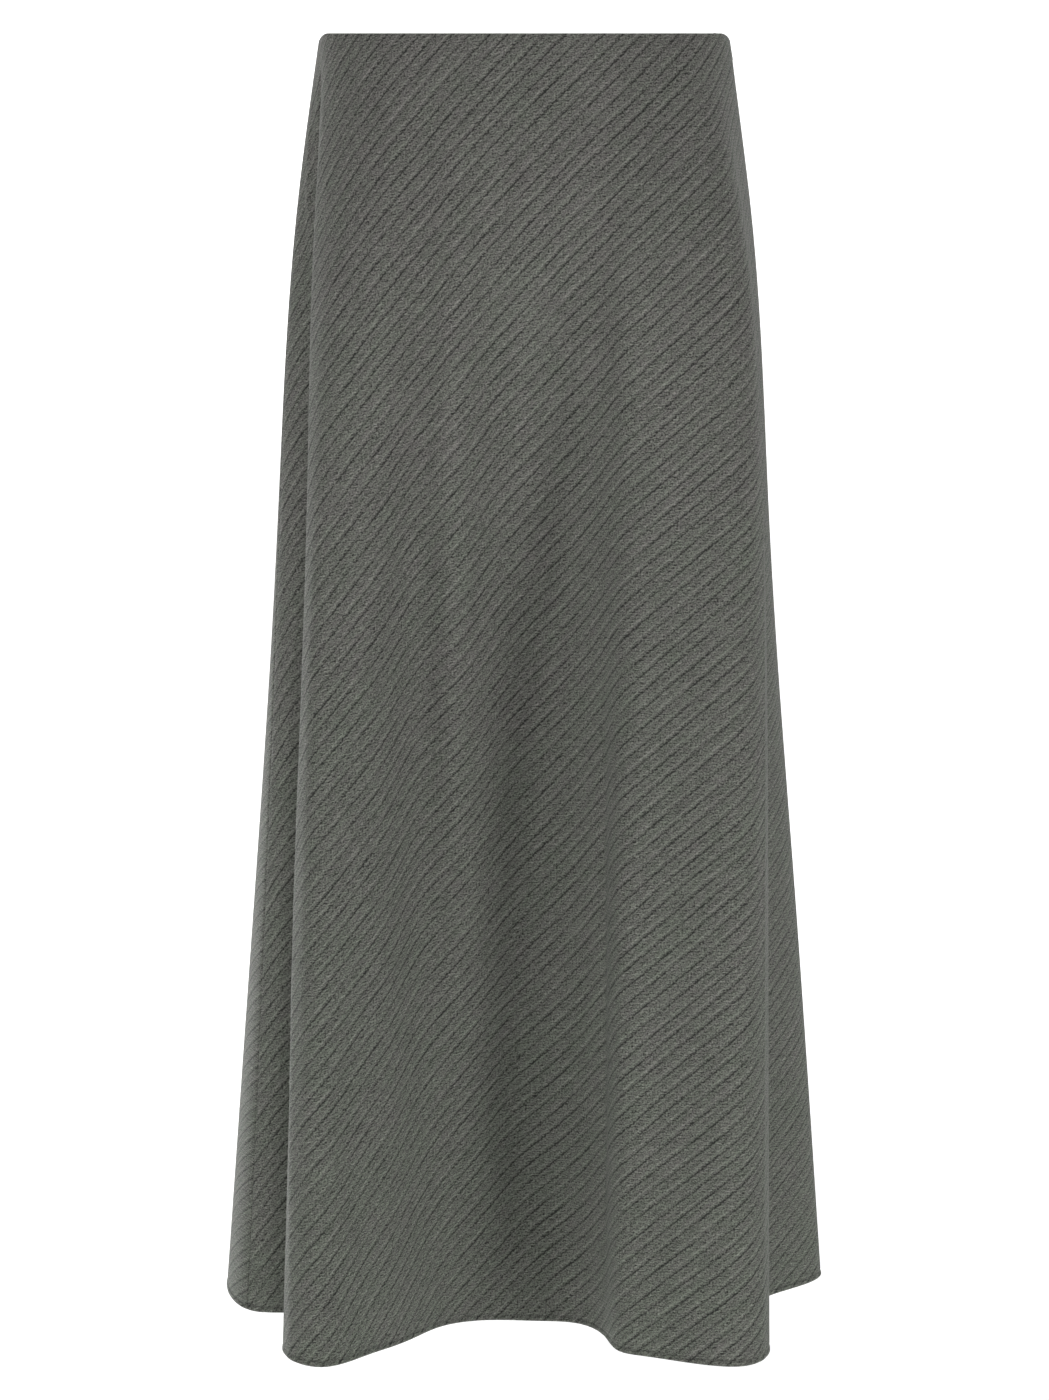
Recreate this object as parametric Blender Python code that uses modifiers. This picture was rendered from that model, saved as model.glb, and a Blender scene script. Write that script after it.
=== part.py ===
"""Long bias-cut A-line skirt, filled out as it hangs when it is worn.

Two panels meet at the side seams. The wearer's left seam, at +X, holds a concealed zip.
The origin is the centre of the waist opening, at its top edge. Front faces -Y, +Z is up.
Run with: blender --background --python part.py
"""

from collections import namedtuple
from math import cos, radians, sin

import bmesh
import bpy
import numpy as np
from mathutils import Matrix, Vector

MM = 0.001

# ---- sizes of the garment ----
SKIRT_LENGTH = 906 * MM          # waist edge to hem, straight down
WAIST_HALF_WIDTH = 141.5 * MM
WAIST_HALF_DEPTH = 95 * MM
WAIST_SQUARENESS = 2.25          # 2 would be an ellipse, more is squarer
WAIST_DIP = 5.5 * MM             # how far the edge drops at the side seams
DIP_STARTS = 0.94                # share of the half width where the drop begins
DIP_BEND = 2.5                   # power by which the drop then grows
CLOTH = 1.6 * MM                 # wall of a panel
HEM_CLOTH = 2.4 * MM             # wall where the hem is turned up
HEM_TURN = 4 * MM                # height of the turned hem
HEM_STEP = 0.6 * MM              # height over which the wall thickens
SEAM_GAP = 0.3 * MM              # between the two panels
COLUMN_PITCH = 11 * MM           # width of a mesh column at the hem
ROW_PITCH = 54 * MM              # height of a mesh row

# ---- sizes of the concealed zip ----
FIT_GAP = 0.35 * MM              # between pieces that lie on each other
ZIP_TOP = 2 * MM                 # tapes start this far below the waist edge
ZIP_LENGTH = 180 * MM
TAPE = 1.0 * MM
TAPE_WIDTH = 11 * MM
TAPE_PARTING = 0.9 * MM          # from the seam line to a tape's edge
COIL_RADIUS = 1.5 * MM
SLIDER_DEPTH = 13 * MM           # slider centre below the level of the waist edge
SLIDER_HALF_HEIGHT = 4.5 * MM
SLIDER_HALF_WIDTH = 2.9 * MM
SLIDER_BODY_DEEP = 4.0 * MM
CROWN_THICK = 0.9 * MM
CROWN_HALF_HEIGHT = 4.0 * MM
CROWN_RISE = 2.9 * MM            # crown's outer edge above the cloth
CROWN_EYE_HALF = 3.1 * MM        # half height of the eye in the crown
CROWN_EYE_RISE = 2.0 * MM        # outer edge of that eye above the cloth
PARTED_HALF = 0.8 * MM           # half the seam's opening beside the slider
PARTED_END = 18.5 * MM           # the seam stays that wide down to here
CLOSED_AT = 28 * MM              # and is closed again from here down
AXIS_RISE = 1.05 * MM            # pull's axis above the cloth
PULL_THICK = 1.0 * MM
PULL_HALF_WIDTH = 2.4 * MM
PULL_NECK_HALF = 1.9 * MM
PULL_SLOT_HALF = 0.78 * MM
PULL_SLOT_END = 5.0 * MM
PULL_LENGTH = 20 * MM
PULL_BAR_HALF = 0.5 * MM         # half height of the bar that turns in the crown
END_STEPS = 7                    # straight pieces in the pull's round end

# ---- the drape: a row for each crest, hollow or slope between them ----
# Every row runs from the waist edge to the hem. "angle" places it on the waist, measured at
# +X and turning to the back. The pairs are its x and y in millimetres at the section depths.
SECTION_DEPTHS = (0.0, 120 * MM, 330 * MM, 600 * MM, SKIRT_LENGTH)
Fold = namedtuple("Fold", "name angle hip thigh knee hem")
FOLDS = (
    Fold("left seam",         183, (-158, -4),    (-171.5, -14), (-184, -27),    (-200, -40)),
    Fold("left side face",    187, (-152, -14),   (-161, -27),   (-172, -37),    (-183, -47)),
    Fold("left hollow",       194, (-144, -28),   (-147, -42),   (-153, -50),    (-159, -54)),
    Fold("left flute side",   202, (-142, -50),   (-148, -68),   (-158.5, -92),  (-169, -124)),
    Fold("left flute crest",  218, (-123, -80),   (-138, -92),   (-143, -127),   (-140, -158)),
    Fold("left shoulder",     228, (-110, -90),   (-114, -95),   (-116, -119),   (-109, -134)),
    Fold("left slope",        238, (-90, -99),    (-95, -90),    (-95, -107),    (-91, -116)),
    Fold("left inner ridge",  246, (-67, -97),    (-68, -75),    (-69, -80),     (-77, -99)),
    Fold("left ridge",        252, (-47, -107),   (-50, -82),    (-47, -76),     (-55, -73)),
    Fold("centre wall",       263, (-20, -102),   (-18, -66),    (-29, -67),     (-17, -61)),
    Fold("centre valley",     273, (4, -109),     (4, -60),      (-7, -54),      (10, -61)),
    Fold("centre ridge",      282, (38, -101),    (25, -57),     (23, -59),      (38, -69)),
    Fold("right wall",        290, (56, -104),    (55, -83),     (53, -91),      (57, -99)),
    Fold("right inner slope", 295, (71, -110),    (68, -99),     (67, -121),     (66, -127)),
    Fold("right slope",       302, (94, -104),    (88, -107),    (88, -126),     (87, -138)),
    Fold("right flute crest", 318, (143, -78),    (151, -108),   (149, -139),    (152, -156)),
    Fold("right flute side",  338, (149, -46),    (164, -64),    (168.5, -94),   (171, -127)),
    Fold("right hollow",      347, (153, -24),    (163, -34),    (163, -38),     (161, -42)),
    Fold("right side face",   353, (155.5, -10),  (168, -14),    (178, -11),     (189, -1)),
    Fold("right seam",        371, (158, 19),     (173, 20),     (195, 26),      (219, 33)),
    Fold("right back side",   384, (150, 40),     (165, 50),     (184, 64),      (205, 82)),
    Fold("right back crest",  398, (120, 76),     (134, 98),     (150, 122),     (166, 150)),
    Fold("right back slope",  420, (76, 99),      (82, 114),     (90, 120),      (100, 121)),
    Fold("right back hollow", 436, (40, 108),     (44, 121),     (50, 119),      (56, 112)),
    Fold("centre back crest", 450, (-2, 111),     (-3, 131),     (-4, 142),      (-6, 154)),
    Fold("left back hollow",  464, (-42, 107),    (-48, 120),    (-56, 118),     (-66, 110)),
    Fold("left back slope",   480, (-78, 98),     (-86, 113),    (-96, 122),     (-110, 122)),
    Fold("left back crest",   504, (-121, 74),    (-136, 96),    (-152, 124),    (-168, 154)),
    Fold("left back side",    526, (-153, 30),    (-169, 40),    (-188, 56),     (-207, 80)),
    Fold("left tip",          536, (-157, 10),    (-173, 12),    (-194, 16),     (-219, 21)),
)
RIGHT_SEAM = [fold.name for fold in FOLDS].index("right seam")

# ---- finishes ----
CLOTH_COLOUR = (0.112, 0.115, 0.102)
TAPE_COLOUR = (0.085, 0.088, 0.078)
COIL_COLOUR = (0.070, 0.072, 0.064)
METAL_COLOUR = (0.125, 0.128, 0.115)


# ---- curves through the folds ----

def solve_bends(matrix, right_side):
    """Second derivatives at a cubic spline's points, from its equations."""
    flat = right_side.reshape(len(matrix), -1)
    return np.linalg.solve(matrix, flat).reshape(right_side.shape)


def cubic(start, end, start_bend, end_bend, width, share):
    """Point of one spline span, at a share of its width."""
    rest = 1 - share
    bend = (rest ** 3 - rest) * start_bend + (share ** 3 - share) * end_bend
    return rest * start + share * end + bend * width ** 2 / 6


def section_at(depth, sections):
    """Every fold's x and y at one depth, on a natural spline through the sections."""
    count = len(SECTION_DEPTHS)
    widths = np.diff(SECTION_DEPTHS)
    matrix = np.eye(count)
    right_side = np.zeros_like(sections)
    for row in range(1, count - 1):
        above, below = widths[row - 1], widths[row]
        matrix[row, row - 1:row + 2] = above, 2 * (above + below), below
        climb = (sections[row + 1] - sections[row]) / below
        right_side[row] = 6 * (climb - (sections[row] - sections[row - 1]) / above)
    bends = solve_bends(matrix, right_side)
    span = int(np.clip(np.searchsorted(SECTION_DEPTHS, depth) - 1, 0, count - 2))
    share = (depth - SECTION_DEPTHS[span]) / widths[span]
    ends = sections[span], sections[span + 1], bends[span], bends[span + 1]
    return cubic(*ends, widths[span], share)


def ring_through(points, columns):
    """Closed smooth ring through the folds, with a number of columns in each span."""
    count = len(points)
    following = np.roll(points, -1, axis=0)
    widths = np.linalg.norm(following - points, axis=1) ** 0.75
    matrix = np.zeros((count, count))
    right_side = np.zeros_like(points)
    for row in range(count):
        before, after = widths[row - 1], widths[row]
        matrix[row, row - 1] += before
        matrix[row, row] += 2 * (before + after)
        matrix[row, (row + 1) % count] += after
        climb = (following[row] - points[row]) / after
        right_side[row] = 6 * (climb - (points[row] - points[row - 1]) / before)
    bends = solve_bends(matrix, right_side)
    ring = []
    for row in range(count):
        ends = points[row], following[row], bends[row], bends[(row + 1) % count]
        for step in range(columns[row]):
            ring.append(cubic(*ends, widths[row], step / columns[row]))
    return np.array(ring)


def waist_point(angle):
    """Point of the waist's rounded oval."""
    power = 2 / WAIST_SQUARENESS
    across, along = cos(radians(angle)), sin(radians(angle))
    x = WAIST_HALF_WIDTH * abs(across) ** power * np.sign(across)
    y = WAIST_HALF_DEPTH * abs(along) ** power * np.sign(along)
    return x, y


def fold_sections():
    """The table as an array: section, fold, x and y."""
    waist = [waist_point(fold.angle) for fold in FOLDS]
    lower = [[getattr(fold, name) for fold in FOLDS] for name in ("hip", "thigh", "knee", "hem")]
    return np.concatenate([[waist], np.array(lower) * MM])


def row_depths():
    """Depths of the mesh rows: close at the slider and the turned hem, even between."""
    start = CLOSED_AT
    end = SKIRT_LENGTH - HEM_TURN - HEM_STEP
    steps = round((end - start) / ROW_PITCH)
    even = [start + (end - start) * step / steps for step in range(steps + 1)]
    return [0.0, PARTED_END] + even + [SKIRT_LENGTH - HEM_TURN, SKIRT_LENGTH]


def skirt_grid():
    """Outer points and outward normals of the whole skirt, and the column of each fold."""
    sections = fold_sections()
    hem = sections[-1]
    spans = np.linalg.norm(np.roll(hem, -1, axis=0) - hem, axis=1)
    columns = [max(2, round(span / COLUMN_PITCH)) for span in spans]
    waist_ring = ring_through(sections[0], columns)
    share = (abs(waist_ring[:, 0]) / WAIST_HALF_WIDTH - DIP_STARTS) / (1 - DIP_STARTS)
    dip = WAIST_DIP * np.clip(share, 0, 1) ** DIP_BEND
    depths = row_depths()
    outer = np.zeros((len(depths), len(waist_ring), 3))
    for row, depth in enumerate(depths):
        outer[row, :, :2] = ring_through(section_at(depth, sections), columns)
        outer[row, :, 2] = -depth - dip * (1 - depth / SKIRT_LENGTH)
    around = np.roll(outer, -1, axis=1) - np.roll(outer, 1, axis=1)
    down = np.gradient(outer, np.array(depths), axis=0)
    normals = np.cross(down, around)
    normals /= np.linalg.norm(normals, axis=2, keepdims=True)
    fold_columns = np.concatenate([[0], np.cumsum(columns)])
    return np.array(depths), outer, normals, fold_columns


# ---- meshes ----

def add_object(name, mesh, material, collection):
    """Put a mesh in the part's collection with its finish."""
    piece = bpy.data.objects.new(name, mesh)
    piece.data.materials.clear()
    piece.data.materials.append(material)
    collection.objects.link(piece)
    return piece


def wall_mesh(name, outer, inner):
    """Closed wall between two grids of points, rounded by smooth shading."""
    rows, columns = outer.shape[:2]
    model = bmesh.new()
    sheets = []
    for grid in (outer, inner):
        sheets.append([[model.verts.new(point) for point in row] for row in grid])
    for sheet in sheets:
        for row in range(rows - 1):
            for column in range(columns - 1):
                upper, lower = sheet[row], sheet[row + 1]
                corners = upper[column], upper[column + 1], lower[column + 1], lower[column]
                model.faces.new(corners)
    border = [(0, column) for column in range(columns - 1)]
    border += [(row, columns - 1) for row in range(rows - 1)]
    border += [(rows - 1, column) for column in range(columns - 1, 0, -1)]
    border += [(row, 0) for row in range(rows - 1, 0, -1)]
    for here, there in zip(border, border[1:] + border[:1]):
        near = [sheet[here[0]][here[1]] for sheet in sheets]
        far = [sheet[there[0]][there[1]] for sheet in sheets]
        model.faces.new((near[0], near[1], far[1], far[0]))
    bmesh.ops.recalc_face_normals(model, faces=model.faces)
    mesh = bpy.data.meshes.new(name)
    model.to_mesh(mesh)
    model.free()
    mesh.shade_smooth()
    mesh.set_sharp_from_angle(angle=radians(50))
    return mesh


def moved_along(points, towards, distance):
    """Points moved a distance towards their neighbours."""
    way = towards - points
    return points + way / np.linalg.norm(way, axis=-1, keepdims=True) * distance


def add_panel(name, grid, first, last, material, collection):
    """One panel between two seam columns, cut back by half the seam's gap at each side."""
    depths, outer, normals, fold_columns = grid
    columns = [column % outer.shape[1] for column in range(first, last + 1)]
    thickness = np.interp(depths, [0, SKIRT_LENGTH - HEM_TURN - HEM_STEP,
                                   SKIRT_LENGTH - HEM_TURN], [CLOTH, CLOTH, HEM_CLOTH])
    parted = np.interp(depths, [PARTED_END, CLOSED_AT], [PARTED_HALF, SEAM_GAP / 2])
    face = outer[:, columns]
    back = face - normals[:, columns] * thickness[:, None, None]
    zip_column = fold_columns[RIGHT_SEAM]
    for sheet in (face, back):
        for edge, inside, column in ((0, 1, first), (-1, -2, last)):
            cut = parted if column == zip_column else np.full(len(depths), SEAM_GAP / 2)
            sheet[:, edge] = moved_along(sheet[:, edge], sheet[:, inside], cut[:, None])
    return add_object(name, wall_mesh(name, face, back), material, collection)


# ---- the concealed zip ----

def seam_frame(grid, depth, reach=0.0):
    """Outer point and normal at a distance along the skirt's surface from the zip's seam."""
    depths, outer, normals, fold_columns = grid
    row = int(np.clip(np.searchsorted(depths, depth) - 1, 0, len(depths) - 2))
    share = (depth - depths[row]) / (depths[row + 1] - depths[row])
    ring = outer[row] * (1 - share) + outer[row + 1] * share
    facing = normals[row] * (1 - share) + normals[row + 1] * share
    column = fold_columns[RIGHT_SEAM]
    step = 1 if reach > 0 else -1
    left = abs(reach)
    span = np.linalg.norm(ring[column + step] - ring[column])
    while left > span:
        left -= span
        column += step
        span = np.linalg.norm(ring[column + step] - ring[column])
    point = ring[column] + (ring[column + step] - ring[column]) * left / span
    normal = facing[column] + (facing[column + step] - facing[column]) * left / span
    return point, normal / np.linalg.norm(normal)


def zip_depths(grid, top, bottom):
    """Panel rows between two depths, with those two, so a strip lies flat on the panel."""
    between = [depth for depth in grid[0] if top + MM < depth < bottom - MM]
    return [top] + between + [bottom]


def add_tape(name, grid, side, material, collection):
    """Zip tape on the inside of one panel, beside the seam."""
    lift = CLOTH + FIT_GAP
    reaches = [side * reach for reach in np.linspace(TAPE_PARTING, TAPE_WIDTH, 4)]
    sheets = []
    for inward in (lift, lift + TAPE):
        rows = []
        for depth in zip_depths(grid, ZIP_TOP, ZIP_LENGTH):
            frames = [seam_frame(grid, depth, reach) for reach in reaches]
            rows.append([point - normal * inward for point, normal in frames])
        sheets.append(np.array(rows))
    return add_object(name, wall_mesh(name, *sheets), material, collection)


def mesh_from_curve(curve):
    """Closed mesh of a curve's filled form, with its caps welded."""
    holder = bpy.data.objects.new(curve.name, curve)
    bpy.context.scene.collection.objects.link(holder)
    graph = bpy.context.evaluated_depsgraph_get()
    mesh = bpy.data.meshes.new_from_object(holder.evaluated_get(graph))
    bpy.data.objects.remove(holder)
    bpy.data.curves.remove(curve)
    model = bmesh.new()
    model.from_mesh(mesh)
    bmesh.ops.remove_doubles(model, verts=model.verts, dist=0.01 * MM)
    bmesh.ops.recalc_face_normals(model, faces=model.faces)
    model.to_mesh(mesh)
    model.free()
    return mesh


def add_coil(grid, slider_bottom, material, collection):
    """The closed coil, a round cord of small loops, behind the meeting edges of the tapes."""
    curve = bpy.data.curves.new("zip_coil", "CURVE")
    curve.dimensions = "3D"
    curve.bevel_depth = COIL_RADIUS
    curve.bevel_resolution = 2
    curve.use_fill_caps = True
    inward = CLOTH + TAPE + 2 * FIT_GAP + COIL_RADIUS
    depths = zip_depths(grid, slider_bottom, ZIP_LENGTH - 4 * MM)
    spline = curve.splines.new("POLY")
    spline.points.add(len(depths) - 1)
    for place, depth in zip(spline.points, depths):
        point, normal = seam_frame(grid, depth)
        place.co = (*(point - normal * inward), 1)
    mesh = mesh_from_curve(curve)
    mesh.shade_smooth()
    mesh.set_sharp_from_angle(angle=radians(50))
    return add_object("zip_coil", mesh, material, collection)


def plate_mesh(name, outlines, thickness):
    """Flat plate from closed outlines, the second one a hole, centred on its own plane."""
    curve = bpy.data.curves.new(name, "CURVE")
    curve.dimensions = "2D"
    curve.fill_mode = "BOTH"
    curve.extrude = thickness / 2
    for outline in outlines:
        spline = curve.splines.new("POLY")
        spline.points.add(len(outline) - 1)
        spline.use_cyclic_u = True
        for place, (x, y) in zip(spline.points, outline):
            place.co = (x, y, 0, 1)
    return mesh_from_curve(curve)


def rectangle(left, right, bottom, top):
    """Corners of an upright rectangle."""
    return [(left, bottom), (right, bottom), (right, top), (left, top)]


def slider_matrix(grid):
    """Frame on the seam at the slider: X across the seam, Y out of the cloth, Z up."""
    point, normal = seam_frame(grid, SLIDER_DEPTH)
    above = Vector(seam_frame(grid, SLIDER_DEPTH - 4 * MM)[0])
    outward = Vector(normal)
    up = above - Vector(point)
    up = (up - outward * up.dot(outward)).normalized()
    across = outward.cross(up)
    turn = Matrix((across, outward, up)).transposed().to_4x4()
    return Matrix.Translation(point) @ turn


def add_slider(frame, material, collection):
    """Slider: a block behind the seam and a thin crown with an eye in front of it."""
    block_face = -(CLOTH + TAPE + 2 * FIT_GAP)
    sunk = 0.5 * MM
    chamfer = 0.6 * MM
    top, rise = CROWN_HALF_HEIGHT, CROWN_RISE
    crown = [(-top, block_face - sunk), (top, block_face - sunk), (top, rise - chamfer),
             (top - chamfer, rise), (-top + chamfer, rise), (-top, rise - chamfer)]
    eye = rectangle(-CROWN_EYE_HALF, CROWN_EYE_HALF, 0, CROWN_EYE_RISE)
    mesh = plate_mesh("zip_slider", [crown, eye], CROWN_THICK)
    # the plate's x runs up the seam and its y out of the cloth
    mesh.transform(Matrix(((0, 0, 1, 0), (0, 1, 0, 0), (-1, 0, 0, 0), (0, 0, 0, 1))))
    slider = add_object("zip_slider", mesh, material, collection)
    slider.matrix_world = frame
    bpy.ops.mesh.primitive_cube_add(size=1)
    block = bpy.context.object
    size = Vector((2 * SLIDER_HALF_WIDTH, SLIDER_BODY_DEEP, 2 * SLIDER_HALF_HEIGHT))
    block.data.transform(Matrix.Diagonal((*size, 1)))
    block.data.transform(Matrix.Translation((0, block_face - SLIDER_BODY_DEEP / 2, 0)))
    block.matrix_world = frame
    bevel = block.modifiers.new("soft edges", "BEVEL")
    bevel.width = 0.8 * MM
    bevel.segments = 2
    hide_cutter(block, "slider_block")
    union = slider.modifiers.new("block", "BOOLEAN")
    union.operation = "UNION"
    union.solver = "EXACT"
    union.object = block
    return slider


def hide_cutter(cutter, name):
    """Keep a cutting or joining guide out of the model."""
    cutter.name = name
    cutter.display_type = "WIRE"
    cutter.hide_render = True
    for holder in list(cutter.users_collection):
        holder.objects.unlink(cutter)
    bpy.data.collections["cutters"].objects.link(cutter)


def add_pull(frame, material, collection):
    """Pull tab: a flat tongue whose top bar turns in the crown's eye."""
    outline = [(-PULL_NECK_HALF, PULL_BAR_HALF), (-PULL_NECK_HALF, -PULL_SLOT_END)]
    centre = -(PULL_LENGTH - PULL_HALF_WIDTH)
    for step in range(END_STEPS + 1):
        turn = radians(180 + 180 * step / END_STEPS)
        outline.append((PULL_HALF_WIDTH * cos(turn), centre + PULL_HALF_WIDTH * sin(turn)))
    outline += [(PULL_NECK_HALF, -PULL_SLOT_END), (PULL_NECK_HALF, PULL_BAR_HALF)]
    slot = rectangle(-PULL_SLOT_HALF, PULL_SLOT_HALF, -PULL_SLOT_END, -PULL_BAR_HALF)
    mesh = plate_mesh("zip_pull", [outline, slot], PULL_THICK)
    # the plate's y runs up the seam and its own plane faces out of the cloth
    mesh.transform(Matrix(((1, 0, 0, 0), (0, 0, -1, 0), (0, 1, 0, 0), (0, 0, 0, 1))))
    pull = add_object("zip_pull", mesh, material, collection)
    pull.matrix_world = frame @ Matrix.Translation((0, AXIS_RISE, 0))
    bevel = pull.modifiers.new("soft edges", "BEVEL")
    bevel.width = 0.15 * MM
    bevel.segments = 1
    return pull


# ---- the model ----

def make_material(name, colour, roughness, metallic=0.0):
    """Plain finish of a sub-part."""
    material = bpy.data.materials.new(name)
    material.use_nodes = True
    shader = material.node_tree.nodes["Principled BSDF"]
    shader.inputs["Base Color"].default_value = (*colour, 1)
    shader.inputs["Roughness"].default_value = roughness
    shader.inputs["Metallic"].default_value = metallic
    return material


def build_skirt():
    """Make every piece of the skirt."""
    for old in list(bpy.data.objects):
        bpy.data.objects.remove(old)
    collection = bpy.data.collections.new("long_skirt")
    cutters = bpy.data.collections.new("cutters")
    for group in (collection, cutters):
        bpy.context.scene.collection.children.link(group)

    cloth = make_material("striped_cloth", CLOTH_COLOUR, 0.75)
    tape = make_material("zip_tape", TAPE_COLOUR, 0.85)
    coil = make_material("zip_coil", COIL_COLOUR, 0.45)
    metal = make_material("painted_metal", METAL_COLOUR, 0.4, 0.5)

    grid = skirt_grid()
    seam_column = grid[3][RIGHT_SEAM]
    all_columns = grid[1].shape[1]
    add_panel("front_panel", grid, 0, seam_column, cloth, collection)
    add_panel("back_panel", grid, seam_column, all_columns, cloth, collection)

    add_tape("zip_tape_front", grid, -1, tape, collection)
    add_tape("zip_tape_back", grid, 1, tape, collection)
    slider_bottom = SLIDER_DEPTH + SLIDER_HALF_HEIGHT + FIT_GAP
    add_coil(grid, slider_bottom, coil, collection)
    frame = slider_matrix(grid)
    add_slider(frame, metal, collection)
    add_pull(frame, metal, collection)


build_skirt()
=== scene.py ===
import math

import bpy
import numpy as np
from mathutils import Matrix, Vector


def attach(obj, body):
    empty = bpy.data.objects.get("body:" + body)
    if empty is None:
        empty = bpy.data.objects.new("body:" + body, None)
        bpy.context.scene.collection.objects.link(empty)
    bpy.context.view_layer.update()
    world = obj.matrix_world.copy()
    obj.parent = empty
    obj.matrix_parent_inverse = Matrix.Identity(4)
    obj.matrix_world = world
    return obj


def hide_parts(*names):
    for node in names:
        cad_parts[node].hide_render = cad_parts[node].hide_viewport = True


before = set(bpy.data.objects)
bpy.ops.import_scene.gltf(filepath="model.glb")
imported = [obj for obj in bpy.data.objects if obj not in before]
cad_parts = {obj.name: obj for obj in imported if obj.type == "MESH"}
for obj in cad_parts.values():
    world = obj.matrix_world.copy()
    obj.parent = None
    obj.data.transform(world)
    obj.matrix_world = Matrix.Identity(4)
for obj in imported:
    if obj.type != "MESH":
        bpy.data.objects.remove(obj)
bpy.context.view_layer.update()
print("frame loaded:", ", ".join(sorted(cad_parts)))

mm = 0.001
scene = bpy.context.scene


# the camera stands at waist height and looks down a little
camera = {
    "place": (0, -2.6, 0),
    "tiltDown": 10.173,        # degrees
    "lens": 95.58,             # mm on a 36 mm sensor, along the picture's long side
}

cameraData = bpy.data.cameras.new("camera")
cameraData.lens = camera["lens"]
cameraData.sensor_width = 36
cameraObject = bpy.data.objects.new("camera", cameraData)
cameraObject.location = camera["place"]
cameraObject.rotation_euler = (math.radians(90 - camera["tiltDown"]), 0, 0)
scene.collection.objects.link(cameraObject)
scene.camera = cameraObject
scene.view_settings.view_transform = "Standard"
print("camera set")


# sizes of the whole skirt, the same as those of its solids
skirt = {
    "length": 906 * mm,          # waist edge to hem, straight down
    "waistHalfWidth": 141.5 * mm,
    "waistHalfDepth": 95 * mm,
    "waistSquareness": 2.25,     # 2 would be an ellipse, more is squarer
    "waistDip": 5.5 * mm,        # how far the edge drops at the side seams
    "dipStarts": 0.94,           # share of the half width where the drop begins
    "dipBend": 2.5,
    "sections": (0, 120 * mm, 330 * mm, 600 * mm, 906 * mm),
    "ringSteps": 24,             # fine points between two neighbouring folds
}

# each fold from the waist down: its name, its angle on the waist from +X towards the back,
# then x and y in millimetres at the hip, thigh, knee and hem sections
folds = (
    ("left seam",         183, (-158, -4),     (-171.5, -14),  (-184, -27),    (-200, -40)),
    ("left side face",    187, (-152, -14),    (-161, -27),    (-172, -37),    (-183, -47)),
    ("left hollow",       194, (-144, -28),    (-147, -42),    (-153, -50),    (-159, -54)),
    ("left flute side",   202, (-142, -50),    (-148, -68),    (-158.5, -92),  (-169, -124)),
    ("left flute crest",  218, (-123, -80),    (-138, -92),    (-143, -127),   (-140, -158)),
    ("left shoulder",     228, (-110, -90),    (-114, -95),    (-116, -119),   (-109, -134)),
    ("left slope",        238, (-90, -99),     (-95, -90),     (-95, -107),    (-91, -116)),
    ("left inner ridge",  246, (-67, -97),     (-68, -75),     (-69, -80),     (-77, -99)),
    ("left ridge",        252, (-47, -107),    (-50, -82),     (-47, -76),     (-55, -73)),
    ("centre wall",       263, (-20, -102),    (-18, -66),     (-29, -67),     (-17, -61)),
    ("centre valley",     273, (4, -109),      (4, -60),       (-7, -54),      (10, -61)),
    ("centre ridge",      282, (38, -101),     (25, -57),      (23, -59),      (38, -69)),
    ("right wall",        290, (56, -104),     (55, -83),      (53, -91),      (57, -99)),
    ("right inner slope", 295, (71, -110),     (68, -99),      (67, -121),     (66, -127)),
    ("right slope",       302, (94, -104),     (88, -107),     (88, -126),     (87, -138)),
    ("right flute crest", 318, (143, -78),     (151, -108),    (149, -139),    (152, -156)),
    ("right flute side",  338, (149, -46),     (164, -64),     (168.5, -94),   (171, -127)),
    ("right hollow",      347, (153, -24),     (163, -34),     (163, -38),     (161, -42)),
    ("right side face",   353, (155.5, -10),   (168, -14),     (178, -11),     (189, -1)),
    ("right seam",        371, (158, 19),      (173, 20),      (195, 26),      (219, 33)),
    ("right back side",   384, (150, 40),      (165, 50),      (184, 64),      (205, 82)),
    ("right back crest",  398, (120, 76),      (134, 98),      (150, 122),     (166, 150)),
    ("right back slope",  420, (76, 99),       (82, 114),      (90, 120),      (100, 121)),
    ("right back hollow", 436, (40, 108),      (44, 121),      (50, 119),      (56, 112)),
    ("centre back crest", 450, (-2, 111),      (-3, 131),      (-4, 142),      (-6, 154)),
    ("left back hollow",  464, (-42, 107),     (-48, 120),     (-56, 118),     (-66, 110)),
    ("left back slope",   480, (-78, 98),      (-86, 113),     (-96, 122),     (-110, 122)),
    ("left back crest",   504, (-121, 74),     (-136, 96),     (-152, 124),    (-168, 154)),
    ("left back side",    526, (-153, 30),     (-169, 40),     (-188, 56),     (-207, 80)),
    ("left tip",          536, (-157, 10),     (-173, 12),     (-194, 16),     (-219, 21)),
)
foldNames = [fold[0] for fold in folds]
zipFold = foldNames.index("right seam")


def waistPoint(angle):
    power = 2 / skirt["waistSquareness"]
    across, along = math.cos(math.radians(angle)), math.sin(math.radians(angle))
    return (math.copysign(skirt["waistHalfWidth"] * abs(across) ** power, across),
            math.copysign(skirt["waistHalfDepth"] * abs(along) ** power, along))


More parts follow.
